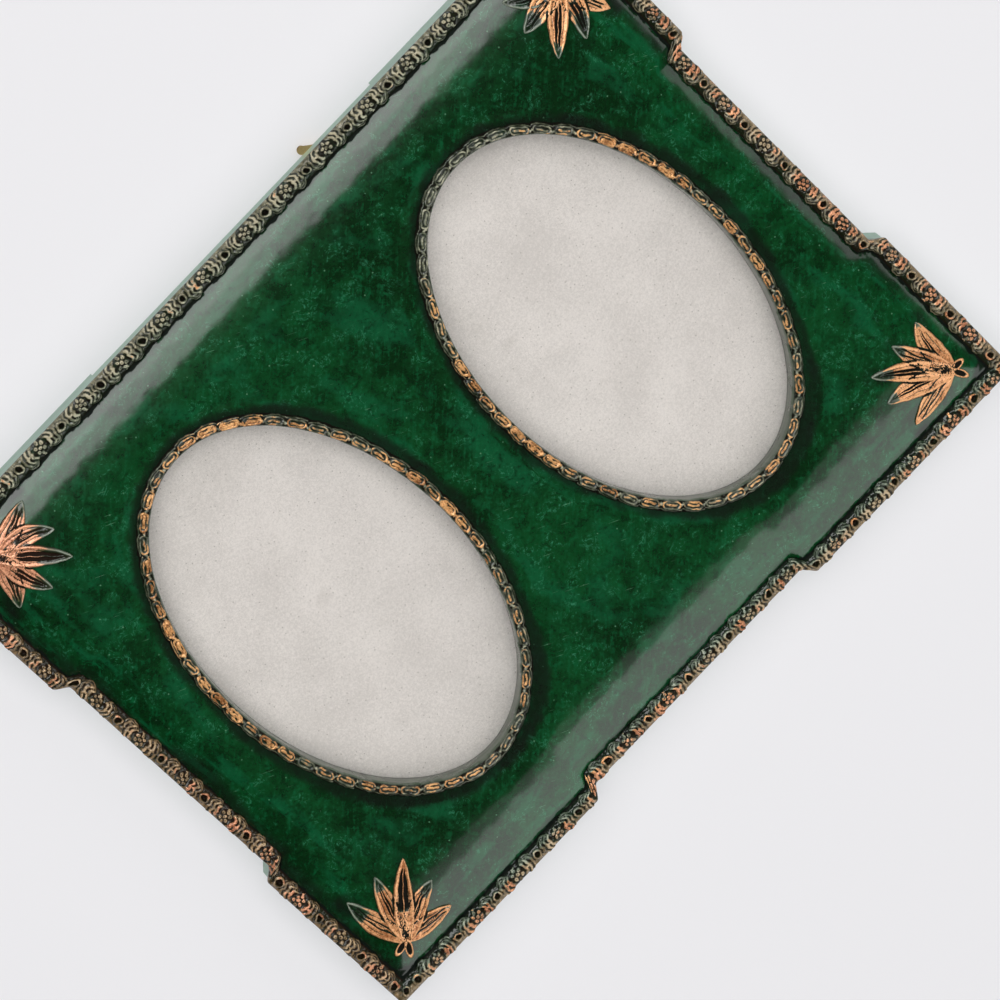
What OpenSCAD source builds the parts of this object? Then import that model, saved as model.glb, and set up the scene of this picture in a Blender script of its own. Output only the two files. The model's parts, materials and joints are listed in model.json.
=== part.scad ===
// Double photo frame: a moulded front with two oval windows, glazed and backed.
// It lies on its four corner feet, or stands on its lower edge with the strut swung out.
// X runs along the long side, Y from the lower edge to the upper edge, Z from the feet to the face.

/* [Front moulding] */
// How far each side wall leans out between the border and the feet
edge_draft = 1; // [0.5:0.1:1.5]
// Thickness of the side walls
wall = 2.4; // [2:0.1:3]
// Thickness of the face
face_t = 2.2; // [1.8:0.1:2.6]
// Height of the groove between the border and the face
groove_top = 11.8; // [11:0.1:12.5]
// Height of the flat middle of the face
plateau_top = 15.8; // [15:0.1:16.4]
// Width over which the face rolls up from the groove to the flat middle
roll_w = 24; // [18:1:26]
// Height of the arches between the feet
foot_lift = 3.3; // [3.1:0.1:3.6]

/* [Border] */
// Width of the raised border
border_w = 5.5; // [5:0.1:6]
// Height of the border's crest above the feet
border_top = 14.3; // [13.6:0.1:14.8]
// Length of the set-back stretch of the upper edge
top_inset_len = 84; // [70:1:90]
// Depth of the set-back stretch of the upper edge
top_inset_d = 4; // [3:0.1:4.5]
// Length of the set-back stretch of each short side
side_inset_len = 76; // [66:1:82]
// Depth of the set-back stretch of each short side
side_inset_d = 3.7; // [3:0.1:4.2]
// Distance from a turned button's tip to the end of the arch that it passes under
arch_play = 3; // [2:0.1:4]

/* [Oval windows] */
// Width of each window
window_w = 80.3; // [76:0.1:82]
// Height of each window
window_h = 123; // [118:0.5:124]
// Width of the face between the two windows
window_gap = 31.1; // [29:0.1:34]
// Width of the face beside each window, out to the border's outer edge
side_margin = 30.15; // [28:0.05:34]
// Height of the face above the windows, out to the border's outer edge
top_margin = 33.2; // [31:0.1:37]
// Height of the face below the windows, out to the border's outer edge
bottom_margin = 30.8; // [29:0.1:35]
// Width of the raised rim round each window
rim_w = 3.2; // [2.8:0.1:3.6]
// Height of the rim's crest above the feet
rim_top = 17.2; // [16.8:0.1:17.6]
// Thickness of the wall of each well
well_wall = 2; // [1.6:0.1:2.4]

/* [Corner leaves] */
// Length of the middle leaf
leaf_len = 22.5; // [20:0.5:24]
// Width of the middle leaf
leaf_w = 5.6; // [5:0.1:6.5]
// How far the leaves stand above the face
leaf_relief = 0.9; // [0.6:0.1:1.1]
// Distance from the border's outer edge to the point where the leaves meet
leaf_corner = 15.2; // [14:0.1:17]
// Length of the two small feet of each leaf group
leaf_foot_len = 8.7; // [7:0.1:9.5]

/* [Glazing and inserts] */
// Width of the photograph that each pocket takes
photo_w = 89; // [88:0.5:90]
// Height of the photograph that each pocket takes
photo_h = 127; // [126:0.5:128]
// Thickness of the blank insert
photo_t = 0.3; // [0.2:0.05:0.35]
// Thickness of the clear pane
glass_t = 1.8; // [1.5:0.1:2]
// Thickness of the filler card
filler_t = 0.3; // [0.2:0.05:0.5]
// How much wider and higher a pane is than the photograph
glass_over = 1; // [0.6:0.1:1.2]
// Play round the panes and the board in their seats
seat_gap = 0.3; // [0.2:0.05:0.4]
// Thickness of the moulded ribs
rib_t = 1.5; // [1.2:0.1:1.6]

/* [Backing board] */
// Thickness of the backing board
board_t = 2.3; // [2:0.1:2.5]
// Width of the ledge that the board rests on
ledge_w = 1.6; // [1.2:0.1:1.8]

/* [Turn buttons] */
// Length of a button from its screw to its tip
button_len = 15; // [13:0.5:15.5]
// Radius of a button round its screw
button_hub_r = 3.6; // [3.3:0.1:4]
// Radius of a button's tip
button_tip_r = 1.3; // [1.1:0.1:1.6]
// Thickness of a button
button_t = 0.9; // [0.7:0.05:1]
// Distance from the middle of the frame to the lower pair of screws
bottom_button_x = 39; // [38:0.5:40]
// Distance from the middle of the frame to the upper pair of screws
top_button_x = 28; // [26:0.5:29]
// How far the lower left button is swung round from the board
swung_angle = 136; // [125:1:150]
// Radius of a boss
boss_r = 3.4; // [3.2:0.1:3.8]
// How far a boss stands past the board's back
boss_drop = 0.3; // [0.25:0.05:0.35]
// Distance from a side wall to the middle of a boss
boss_reach = 5.6; // [5.4:0.1:5.8]
// Radius of a screw's shank
screw_r = 1.1; // [0.9:0.05:1.2]
// Length of a screw's shank
screw_len = 6.4; // [5.5:0.1:6.6]
// Radius of a screw's head
screw_head_r = 2.5; // [2.2:0.1:2.7]
// Height of a screw's head
screw_head_h = 1; // [0.8:0.05:1.1]
// Width of the slot in a screw's head
slot_w = 0.6; // [0.5:0.05:0.7]

/* [Easel strut] */
// Distance from the middle of the frame up to the hinge pin
hinge_y = 32; // [28:1:36]
// How far the strut swings out
strut_opening = 30; // [26:1:34]
// How far the standing frame leans back
frame_lean = 18; // [14:1:20]
// Width of the strut at its foot
strut_foot_w = 40; // [34:1:42]
// Width of the strut at its hinge
strut_top_w = 28; // [27:1:32]
// Thickness of the strut
strut_t = 1.3; // [1.1:0.05:1.35]
// Radius of the strut's foot corners
strut_corner_r = 4; // [3:0.5:6]
// Radius of the hinge pin
pin_r = 0.5; // [0.4:0.02:0.55]
// Outer radius of the hinge knuckles
knuckle_r = 1; // [0.95:0.01:1.05]
// Thickness of the hinge leaves
leaf_plate_t = 0.5; // [0.4:0.02:0.55]
// Width of the hinge
hinge_w = 24; // [22:0.5:26]
// Length of each hinge leaf from the pin
leaf_plate_len = 12; // [10:0.5:14]
// Distance between the two rivets of a leaf
rivet_spacing = 14; // [12:0.5:15]
// Radius of a rivet's shank
rivet_r = 0.9; // [0.7:0.05:1]
// Radius of a rivet's head
rivet_head_r = 1.7; // [1.5:0.1:1.9]
// Height of a rivet's head
rivet_head_h = 0.55; // [0.4:0.05:0.6]

/* [Hidden] */
$fn = 48;
// Overrun of every cut past the face that it opens
cut = 1;
// Clearance of a pin or screw in the hole that it turns in
pin_gap = 0.05;
// Clearance between hinge knuckles, and between them and the board
knuckle_gap = 0.2;
// Angle past the opening at which the hinge's tail meets the board leaf
stop_margin = 1;
// Power of the curve by which the face rolls up
roll_power = 2.2;
// Shares of a half turn at which the border's round section has its corners
crown_shares = [0, 1/6, 1/3, 1/2, 2/3, 5/6, 1];
// Shares of the roll at which the face has its creases
roll_shares = [0.1, 0.22, 0.36, 0.52, 0.72, 1];
// Levels of the rim's steps, as shares of its height above the face, and how wide each step is
rim_step_shares = [[0.45, 1], [0.8, 0.74], [1, 0.4]];
// Each leaf: its angle from the diagonal, its length share, its width share and its pitch
leaf_shares = [[0, 1, 1, 3.4], [27, 0.83, 1.05, 2.6], [-27, 0.83, 1.05, 2.6],
               [60, 0.77, 1.2, -3.4], [-60, 0.77, 1.2, -3.4]];
// Angle of the two feet of a leaf group from the diagonal
leaf_foot_angle = 18;
// Width of a foot as a share of the middle leaf's width
leaf_foot_share = 0.62;
// Width of a button's tapered arm at each end, as a share of the round that it runs into
taper_share = 0.86;

half_w = window_gap / 2 + window_w + side_margin;
half_h = (top_margin + window_h + bottom_margin) / 2;
// The set-back steps run at 45 degrees, so an outline drawn in by 1 moves their ends by this much
step_share = tan(45 / 2);
face_under = groove_top - face_t;
window_x = (window_gap + window_w) / 2;
window_drop = (top_margin - bottom_margin) / 2;

// Heights of what lies behind the face, from the back up
board_back = foot_lift;
board_seat = board_back + board_t;
photo_back = board_seat + filler_t;
glass_back = photo_back + photo_t;
glass_top = glass_back + glass_t;
button_top = board_back - boss_drop;
button_back = button_top - button_t;

// Places of the turn buttons and the board between them
top_boss_y = half_h - top_inset_d - wall - boss_reach;
bottom_boss_y = -half_h + wall + boss_reach;
side_boss_x = half_w - side_inset_d - wall - boss_reach;
// The rib round the board runs through the bosses by half its thickness
board_margin = boss_r + rib_t / 2 + seat_gap;
board_x = side_boss_x - board_margin;
board_y0 = bottom_boss_y + board_margin;
board_y1 = top_boss_y - board_margin;
// Half the width over which a turning button passes under the wall beside it
button_sweep = sqrt(button_len * button_len - boss_reach * boss_reach);

// Strut hinge
pin_z = board_back - knuckle_gap - knuckle_r;
leaf_plate_gap = knuckle_r - leaf_plate_t;
stop_angle = strut_opening + stop_margin;
stop_tail = (leaf_plate_gap * (1 + cos(stop_angle)) + knuckle_gap) / sin(stop_angle);
hinge_height = hinge_y + half_h + edge_draft;
strut_len = hinge_height * cos(frame_lean) / cos(strut_opening - frame_lean);
strut_under = pin_z - leaf_plate_gap;
knuckle_len = (hinge_w - 2 * knuckle_gap) / 3;
leaf_start = knuckle_r + knuckle_gap;
rivet_y = (leaf_start + leaf_plate_len) / 2;

// Outline of the moulding drawn in by o, with the set-back stretches at a share of their depth
function outline(o, share) =
    let (w = half_w - o, h = half_h - o, t = o * step_share,
         top_d = top_inset_d * share, side_d = side_inset_d * share,
         top_l = top_inset_len / 2 + t, side_l = side_inset_len / 2 + t)
    [[-w, -h], [w, -h],
     [w, -window_drop - side_l - side_inset_d], [w - side_d, -window_drop - side_l],
     [w - side_d, -window_drop + side_l], [w, -window_drop + side_l + side_inset_d],
     [w, h],
     [top_l + top_inset_d, h], [top_l, h - top_d],
     [-top_l, h - top_d], [-top_l - top_inset_d, h],
     [-w, h],
     [-w, -window_drop + side_l + side_inset_d], [-w + side_d, -window_drop + side_l],
     [-w + side_d, -window_drop - side_l], [-w, -window_drop - side_l - side_inset_d]];

// A ring is [how far its outline is drawn in, its height, its share of the set-back depth]
function raised(ring) = [for (p = outline(ring[0], ring[2])) [p[0], p[1], ring[1]]];

// Solid through a stack of rings, closed flat below and above by triangles round a middle point
module loft(rings) {
    n = len(outline(0, 1));
    top = len(rings) - 1;
    low_middle = n * len(rings);
    high_middle = low_middle + 1;
    points = concat([for (ring = rings) each raised(ring)], [[0, 0, rings[0][1]], [0, 0, rings[top][1]]]);
    sides = [for (k = [0 : top - 1], i = [0 : n - 1])
        let (a = k * n + i, b = k * n + (i + 1) % n)
        each [[a, a + n, b], [b, a + n, b + n]]];
    caps = [for (i = [0 : n - 1])
        let (j = (i + 1) % n)
        each [[low_middle, i, j], [high_middle, top * n + j, top * n + i]]];
    polyhedron(points, concat(sides, caps));
}

function roll_height(share) = (plateau_top - groove_top) * (1 - pow(1 - share, roll_power));

// Rings of the face's roll, from the border's inner edge to the flat middle, over a given groove height
function roll_rings(floor_z) =
    [for (s = roll_shares) [border_w + roll_w * s, floor_z + roll_height(s), 1 - s]];

module outer_skin()
    loft(concat([[-edge_draft, 0, 1]],
        [for (s = crown_shares) [border_w * (1 - cos(180 * s)) / 2,
                                 groove_top + (border_top - groove_top) * sin(180 * s), 1]],
        roll_rings(groove_top)));

module inner_skin()
    loft(concat([[wall - edge_draft, -cut, 1], [wall, face_under, 1], [border_w, face_under, 1]],
        roll_rings(face_under)));

module both_windows()
    for (side = [-1, 1]) translate([side * window_x, -window_drop]) children();

// Window outline drawn out by o
module oval(o) scale([1, (window_h / 2 + o) / (window_w / 2 + o)]) circle(r = window_w / 2 + o, $fn = 96);

module block(x, y, z0, z1) translate([-x / 2, -y / 2, z0]) cube([x, y, z1 - z0]);

module rim()
    for (step = rim_step_shares)
        translate([0, 0, glass_top])
        linear_extrude(plateau_top + (rim_top - plateau_top) * step[0] - glass_top)
        difference() {
            oval(rim_w * (1 + step[1]) / 2);
            oval(0);
        }

module well() translate([0, 0, glass_top]) linear_extrude(plateau_top - glass_top) oval(well_wall);

// Leaf outline of length l and width w, from its root at the origin along +X
module lens(l, w) {
    r = (l * l + w * w) / (4 * w);
    intersection() {
        translate([l / 2, r - w / 2]) circle(r = r, $fn = 96);
        translate([l / 2, w / 2 - r]) circle(r = r, $fn = 96);
    }
}

// Five leaves and two feet that meet over the face, with the middle leaf along +X
module palmette() {
    root_z = groove_top + roll_height((leaf_corner - border_w) / roll_w);
    for (leaf = leaf_shares)
        rotate([0, 0, leaf[0]]) translate([0, 0, root_z]) rotate([0, -leaf[3], 0])
        translate([0, 0, -leaf_relief]) linear_extrude(2 * leaf_relief)
        lens(leaf_len * leaf[1], leaf_w * leaf[2]);
    foot_drop = atan(roll_height((leaf_corner - border_w) / roll_w) / (2 * leaf_corner));
    for (side = [-1, 1])
        rotate([0, 0, 180 + side * leaf_foot_angle]) translate([0, 0, root_z]) rotate([0, foot_drop, 0])
        translate([0, 0, -leaf_relief]) linear_extrude(2 * leaf_relief)
        lens(leaf_foot_len, leaf_w * leaf_foot_share);
}

module palmettes()
    for (sx = [0, 1], sy = [0, 1])
        mirror([sx, 0, 0]) mirror([0, sy, 0])
        translate([leaf_corner - half_w, leaf_corner - half_h, 0])
        rotate([0, 0, 45]) palmette();

// Each button: its name, the place of its screw and the way it points over the board
BUTTONS = [
    ["bottom_left_button", [-bottom_button_x, bottom_boss_y], 90 - swung_angle],
    ["bottom_right_button", [bottom_button_x, bottom_boss_y], 90],
    ["right_button", [side_boss_x, -window_drop], 180],
    ["top_right_button", [top_button_x, top_boss_y], -90],
    ["top_left_button", [-top_button_x, top_boss_y], -90],
    ["left_button", [-side_boss_x, -window_drop], 0]
];

module bosses()
    for (b = BUTTONS) translate(concat(b[1], [button_top]))
        cylinder(r = boss_r, h = plateau_top - button_top);

module pilot_holes()
    for (b = BUTTONS) translate(concat(b[1], [button_top - cut]))
        cylinder(r = screw_r + pin_gap, h = screw_len - button_t + 2 * cut);

pocket_w = photo_w + glass_over + 2 * seat_gap;
pocket_h = photo_h + glass_over + 2 * seat_gap;

module pocket_ribs()
    both_windows() difference() {
        block(pocket_w + 2 * rib_t, pocket_h + 2 * rib_t, board_seat, plateau_top);
        block(pocket_w, pocket_h, board_seat - cut, plateau_top + cut);
    }

// Rectangle round the board, drawn out by o
module board_block(o, z0, z1)
    translate([-board_x - o, board_y0 - o, z0])
    cube([2 * (board_x + o), board_y1 - board_y0 + 2 * o, z1 - z0]);

module board_ribs() {
    difference() {
        board_block(seat_gap + rib_t, board_back, plateau_top);
        board_block(seat_gap, board_back - cut, plateau_top + cut);
    }
    difference() {
        board_block(seat_gap, board_seat, plateau_top);
        board_block(-ledge_w, board_seat - cut, plateau_top + cut);
    }
}

// Arches cut through the side walls between the feet
module arches() {
    depth = 2 * (wall + edge_draft) + top_inset_d;
    for (side = [[half_h - top_inset_d, top_button_x], [-half_h, bottom_button_x]])
        translate([0, side[0], 0]) block(2 * (side[1] + button_sweep + arch_play), depth, -cut, foot_lift);
    for (side = [-1, 1])
        translate([side * (half_w - side_inset_d), -window_drop, 0])
        block(depth, side_inset_len, -cut, foot_lift);
}

module front_moulding()
    color("darkgreen")
    difference() {
        union() {
            difference() {
                outer_skin();
                inner_skin();
            }
            intersection() {
                outer_skin();
                union() {
                    pocket_ribs();
                    board_ribs();
                    bosses();
                    both_windows() well();
                }
            }
            both_windows() rim();
            palmettes();
        }
        both_windows() translate([0, 0, glass_top - cut]) linear_extrude(rim_top) oval(0);
        pilot_holes();
        arches();
    }

module sheet(side, over, z0, z1)
    translate([side * window_x, -window_drop, 0]) block(photo_w + over, photo_h + over, z0, z1);

module left_pane() color("white", 0.3) sheet(-1, glass_over, glass_back, glass_top);
module right_pane() color("white", 0.3) sheet(1, glass_over, glass_back, glass_top);
module left_blank_insert() color("gainsboro") sheet(-1, 0, photo_back, glass_back);
module right_blank_insert() color("gainsboro") sheet(1, 0, photo_back, glass_back);
module left_filler_card() color("tan") sheet(-1, 0, board_seat, photo_back);
module right_filler_card() color("tan") sheet(1, 0, board_seat, photo_back);

module rivet_places(away) for (side = [-1, 1]) translate([side * rivet_spacing / 2, hinge_y + away * rivet_y]) children();

module backing_board()
    color("saddlebrown")
    difference() {
        board_block(0, board_back, board_seat);
        rivet_places(1) translate([0, 0, board_back - cut]) cylinder(r = rivet_r + pin_gap, h = board_t + 2 * cut);
        rivet_places(1) translate([0, 0, board_seat - rivet_head_h])
            cylinder(r = rivet_head_r + pin_gap, h = rivet_head_h + cut);
    }

// Tube of one knuckle, with its middle at x
module knuckle(x)
    translate([x - knuckle_len / 2, hinge_y, pin_z]) rotate([0, 90, 0]) cylinder(r = knuckle_r, h = knuckle_len);

module pin_bore()
    translate([-hinge_w / 2 - cut, hinge_y, pin_z]) rotate([0, 90, 0])
    cylinder(r = pin_r + pin_gap, h = hinge_w + 2 * cut);

outer_knuckle_x = knuckle_len + knuckle_gap;

module board_hinge_leaf()
    color("goldenrod")
    difference() {
        union() {
            translate([-hinge_w / 2, hinge_y + leaf_start, board_back - leaf_plate_t])
                cube([hinge_w, leaf_plate_len - leaf_start, leaf_plate_t]);
            for (side = [-1, 1]) {
                knuckle(side * outer_knuckle_x);
                translate([side * outer_knuckle_x - knuckle_len / 2, hinge_y, board_back - leaf_plate_t])
                    cube([knuckle_len, leaf_start, leaf_plate_t]);
            }
        }
        pin_bore();
        rivet_places(1) translate([0, 0, board_back - leaf_plate_t - cut])
            cylinder(r = rivet_r + pin_gap, h = leaf_plate_t + 2 * cut);
    }

module strut_hinge_leaf()
    color("goldenrod")
    difference() {
        union() {
            translate([-hinge_w / 2, hinge_y - leaf_plate_len, pin_z - knuckle_r])
                cube([hinge_w, leaf_plate_len - leaf_start, leaf_plate_t]);
            knuckle(0);
            translate([-knuckle_len / 2, hinge_y - leaf_start, pin_z - knuckle_r])
                cube([knuckle_len, leaf_start + stop_tail, leaf_plate_t]);
        }
        pin_bore();
        rivet_places(-1) translate([0, 0, pin_z - knuckle_r - cut])
            cylinder(r = rivet_r + pin_gap, h = leaf_plate_t + 2 * cut);
    }

module hinge_pin()
    color("darkgoldenrod")
    translate([-hinge_w / 2, hinge_y, pin_z]) rotate([0, 90, 0]) cylinder(r = pin_r, h = hinge_w);

// Rivet with its round head below z0 and its flat end just under z1
module rivet(z0, z1) {
    translate([0, 0, z0]) cylinder(r = rivet_r, h = z1 - z0);
    translate([0, 0, z1 - rivet_head_h]) cylinder(r = rivet_head_r, h = rivet_head_h);
    round_head(rivet_head_r, rivet_head_h, z0);
}

// Low round head of radius r and height h, hanging from z
module round_head(r, h, z) {
    ball_r = (r * r + h * h) / (2 * h);
    translate([0, 0, z]) intersection() {
        translate([0, 0, ball_r - h]) sphere(r = ball_r);
        translate([0, 0, -h]) cylinder(r = r, h = h);
    }
}

module board_rivets() color("goldenrod") rivet_places(1) rivet(board_back - leaf_plate_t, board_seat);
module strut_rivets() color("goldenrod") rivet_places(-1) rivet(pin_z - knuckle_r, strut_under + strut_t);

strut_start = leaf_start + knuckle_gap;

module strut_outline()
    polygon([[-strut_top_w / 2, -strut_start], [-strut_foot_w / 2, strut_corner_r - strut_len],
             [strut_corner_r - strut_foot_w / 2, -strut_len], [strut_foot_w / 2 - strut_corner_r, -strut_len],
             [strut_foot_w / 2, strut_corner_r - strut_len], [strut_top_w / 2, -strut_start]]);

module easel_strut()
    color("sienna")
    difference() {
        translate([0, hinge_y, strut_under]) linear_extrude(strut_t) union() {
            strut_outline();
            for (side = [-1, 1])
                translate([side * (strut_foot_w / 2 - strut_corner_r), strut_corner_r - strut_len])
                circle(r = strut_corner_r);
        }
        rivet_places(-1) translate([0, 0, strut_under - cut]) cylinder(r = rivet_r + pin_gap, h = strut_t + 2 * cut);
        rivet_places(-1) translate([0, 0, strut_under + strut_t - rivet_head_h])
            cylinder(r = rivet_head_r + pin_gap, h = rivet_head_h + cut);
    }

// Plate of a button, pointing along +X from its screw
module button_plate() {
    reach = button_len - button_tip_r;
    hub_side = [0, button_hub_r * taper_share];
    tip_side = [0, button_tip_r * taper_share];
    cylinder(r = button_hub_r, h = button_t);
    translate([reach, 0, 0]) cylinder(r = button_tip_r, h = button_t);
    linear_extrude(button_t)
        polygon([-hub_side, [reach, 0] - tip_side, [reach, 0] + tip_side, hub_side]);
}

module turn_button(i)
    color("goldenrod")
    translate(concat(BUTTONS[i][1], [button_back])) rotate([0, 0, BUTTONS[i][2]])
    difference() {
        union() button_plate();
        translate([0, 0, -cut]) cylinder(r = screw_r + pin_gap, h = button_t + 2 * cut);
    }

module button_screw(i)
    color("darkgoldenrod")
    translate(concat(BUTTONS[i][1], [0])) difference() {
        union() {
            translate([0, 0, button_back]) cylinder(r = screw_r, h = screw_len);
            round_head(screw_head_r, screw_head_h, button_back);
        }
        block(2 * screw_head_r, slot_w, button_back - screw_head_h - cut, button_back - screw_head_h / 2);
    }

front_moulding();
left_pane();
right_pane();
left_blank_insert();
right_blank_insert();
left_filler_card();
right_filler_card();
backing_board();
turn_button(0);  // bottom_left_button
turn_button(1);  // bottom_right_button
turn_button(2);  // right_button
turn_button(3);  // top_right_button
turn_button(4);  // top_left_button
turn_button(5);  // left_button
button_screw(0);  // bottom_left_screw
button_screw(1);  // bottom_right_screw
button_screw(2);  // right_screw
button_screw(3);  // top_right_screw
button_screw(4);  // top_left_screw
button_screw(5);  // left_screw
board_hinge_leaf();
hinge_pin();
board_rivets();
easel_strut();
strut_hinge_leaf();
strut_rivets();
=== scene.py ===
# %% [markdown]
# # A double photo frame
# The real thing is one thin plastic moulding: a domed face with two oval windows, a beaded and flowered
# border, chain-like oval rims and a palmette in each corner. It was stained dark green and wiped, so that
# dark colour stayed in the hollows, and its ornament was rubbed with copper. Clear panes, blank paper and a
# fibre board lie behind it, held by brass turn buttons, and an easel strut folds out of the back. What holds,
# turns and fits comes from the CAD model. This script gives that its finish and builds the moulding's visible
# skin again, because ornament this fine is far easier as a surface formula.

# %% Load the frame
import json
import math

import bmesh
import bpy
import numpy as np
from mathutils import Matrix, Vector

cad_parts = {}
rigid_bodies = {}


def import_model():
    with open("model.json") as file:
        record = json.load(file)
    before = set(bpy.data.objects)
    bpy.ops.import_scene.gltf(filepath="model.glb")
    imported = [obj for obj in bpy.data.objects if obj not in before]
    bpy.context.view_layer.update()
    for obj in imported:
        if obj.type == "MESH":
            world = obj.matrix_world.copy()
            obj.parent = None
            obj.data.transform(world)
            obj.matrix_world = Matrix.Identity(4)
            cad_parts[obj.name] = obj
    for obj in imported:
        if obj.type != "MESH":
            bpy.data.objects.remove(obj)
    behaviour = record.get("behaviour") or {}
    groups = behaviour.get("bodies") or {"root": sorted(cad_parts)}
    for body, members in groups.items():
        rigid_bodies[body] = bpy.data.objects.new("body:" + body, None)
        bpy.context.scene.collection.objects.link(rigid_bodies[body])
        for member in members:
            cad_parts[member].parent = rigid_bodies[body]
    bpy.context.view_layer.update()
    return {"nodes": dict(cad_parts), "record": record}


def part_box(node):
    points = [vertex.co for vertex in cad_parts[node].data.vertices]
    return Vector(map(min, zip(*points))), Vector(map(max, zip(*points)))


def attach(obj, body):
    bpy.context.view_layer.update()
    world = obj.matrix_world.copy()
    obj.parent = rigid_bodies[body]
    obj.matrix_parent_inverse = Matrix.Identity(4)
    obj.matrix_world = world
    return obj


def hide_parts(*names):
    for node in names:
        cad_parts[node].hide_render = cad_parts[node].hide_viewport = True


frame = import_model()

MM = 0.001

# %% [markdown]
# ## Sizes
# Lengths are in millimetres. The outer sizes and the windows' places are read from the CAD model, so the new
# skin lands exactly on it. Those that no box shows, such as the depth of the border's set-back stretches,
# repeat the CAD model's own driving sizes.

# %% Read the main sizes
EDGE_DRAFT = 1.0
WELL_WALL = 2.0
moulding_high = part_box("front_moulding")[1] / MM
HALF_W = moulding_high.x - EDGE_DRAFT
HALF_H = moulding_high.y - EDGE_DRAFT
RIM_TOP = moulding_high.z

pane_low, pane_high = (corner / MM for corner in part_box("right_pane"))
WINDOW_X = (pane_low.x + pane_high.x) / 2
WINDOW_Y = (pane_low.y + pane_high.y) / 2
PANE_TOP = pane_high.z
WINDOW_HALF_W, WINDOW_HALF_H = 40.15, 61.5

BORDER_W = 5.4
# The border's outer edge overhangs the side wall by this much on each side
LIP = {"lower": 0.65, "upper": 0.6, "left": 0.45, "right": 0.75}
GROOVE_TOP = 11.8
FACE_RISE = 4.0
ROLL_W = 24.0
TOP_INSET_LEN, TOP_INSET_D = 84.0, 4.0
SIDE_INSET_LEN, SIDE_INSET_D = 76.0, 3.7
FACE_TOP = GROOVE_TOP + FACE_RISE
print(f"border {2 * HALF_W:.1f} x {2 * HALF_H:.1f}, windows at x = +-{WINDOW_X:.1f}, y = {WINDOW_Y:.1f}")

# %% [markdown]
# ## Putting numpy surfaces into meshes
# Each new piece is a grid of points worked out as whole arrays. One helper numbers the squares between grid
# points, and another hands points, faces and values per point, such as how far it is raised, to Blender in
# one go. The finishes read those values later.

# %% Mesh helpers
def grid_faces(rows, columns, wrap_columns=False, wrap_rows=False):
    """Squares between neighbouring points of a grid that is numbered row by row."""
    r = np.arange(rows if wrap_rows else rows - 1)[:, None]
    c = np.arange(columns if wrap_columns else columns - 1)[None, :]
    r1, c1 = (r + 1) % rows, (c + 1) % columns
    corners = [r * columns + c, r * columns + c1, r1 * columns + c1, r1 * columns + c]
    return np.stack(np.broadcast_arrays(*corners), -1).reshape(-1, 4)


def put_mesh(name, points, face_sets, values):
    """An object from points in mm, arrays of faces with equal corner counts, and named values, each a number
    or one number per point."""
    points = np.reshape(points, (-1, 3))
    loops = np.concatenate([faces.ravel() for faces in face_sets])
    sizes = np.concatenate([np.full(len(faces), faces.shape[1]) for faces in face_sets])
    mesh = bpy.data.meshes.new(name)
    mesh.vertices.add(len(points))
    mesh.vertices.foreach_set("co", (points * MM).astype(np.float32).ravel())
    mesh.loops.add(len(loops))
    mesh.loops.foreach_set("vertex_index", loops.astype(np.int32))
    mesh.polygons.add(len(sizes))
    mesh.polygons.foreach_set("loop_start", (np.cumsum(sizes) - sizes).astype(np.int32))
    mesh.update(calc_edges=True)
    mesh.shade_smooth()
    for key, value in values.items():
        value = np.broadcast_to(np.ravel(value), len(points)).astype(np.float32)
        mesh.attributes.new(key, "FLOAT", "POINT").data.foreach_set("value", value)
    piece = bpy.data.objects.new(name, mesh)
    bpy.context.scene.collection.objects.link(piece)
    print(f"{name}: {len(points)} points, {int((sizes - 2).sum())} triangles")
    return piece


def slab(name, x, y, top, bottom, cells, values):
    """A closed solid over the chosen cells of a grid. Its top and bottom are height fields over x and y, and
    a wall joins them along each cell edge that has a chosen cell on one side only. Where two chosen cells
    meet at a corner alone, a third is added."""
    cells = cells.copy()
    for _ in range(3):
        one, two, three, four = cells[:-1, :-1], cells[1:, 1:], cells[1:, :-1], cells[:-1, 1:]
        three |= one & two & ~three & ~four
        one |= three & four & ~one & ~two
    rows, columns = x.shape
    faces = grid_faces(rows, columns)[cells.ravel()]
    edges = np.concatenate([faces[:, [k, (k + 1) % 4]] for k in range(4)])
    key = edges.min(1) * rows * columns + edges.max(1)
    _, first, count = np.unique(key, return_index=True, return_counts=True)
    rim = edges[first[count == 1]]
    n = rows * columns
    walls = np.stack([rim[:, 1], rim[:, 0], rim[:, 0] + n, rim[:, 1] + n], 1)
    quads = np.concatenate([faces, faces[:, ::-1] + n, walls])
    used, packed = np.unique(quads, return_inverse=True)
    points = np.concatenate([np.stack([x, y, z], -1).reshape(-1, 3) for z in (top, bottom)])
    both = {k: np.tile(np.broadcast_to(v, x.shape).ravel(), 2)[used] for k, v in values.items()}
    return put_mesh(name, points[used], [packed.reshape(-1, 4)], both)


# %% [markdown]
# ## Small formulas that everything shares
# A smooth step is the cubic that leaves 0 and reaches 1 without a corner. A round ridge is half a circle
# seen end on. Sums of sine waves make everything a little uneven, as handwork is.

# %% Shape formulas
def smooth(low, high, value):
    """0 below low, 1 above high, and 3t^2 - 2t^3 between them. It also runs downwards if low > high."""
    t = np.clip((value - low) / (high - low), 0, 1)
    return t * t * (3 - 2 * t)


def ridge(distance, radius):
    """Height of a round bar of that radius over its own centre plane: sqrt(1 - (distance / radius)^2)."""
    return np.sqrt(np.clip(1 - (distance / radius) ** 2, 0, 1))


def to_segment(a, b, a0, b0, a1, b1):
    """Distance from the points (a, b) to the straight line piece from (a0, b0) to (a1, b1)."""
    da, db = a1 - a0, b1 - b0
    t = np.clip(((a - a0) * da + (b - b0) * db) / (da * da + db * db), 0, 1)
    return np.hypot(a - a0 - t * da, b - b0 - t * db)


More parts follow.
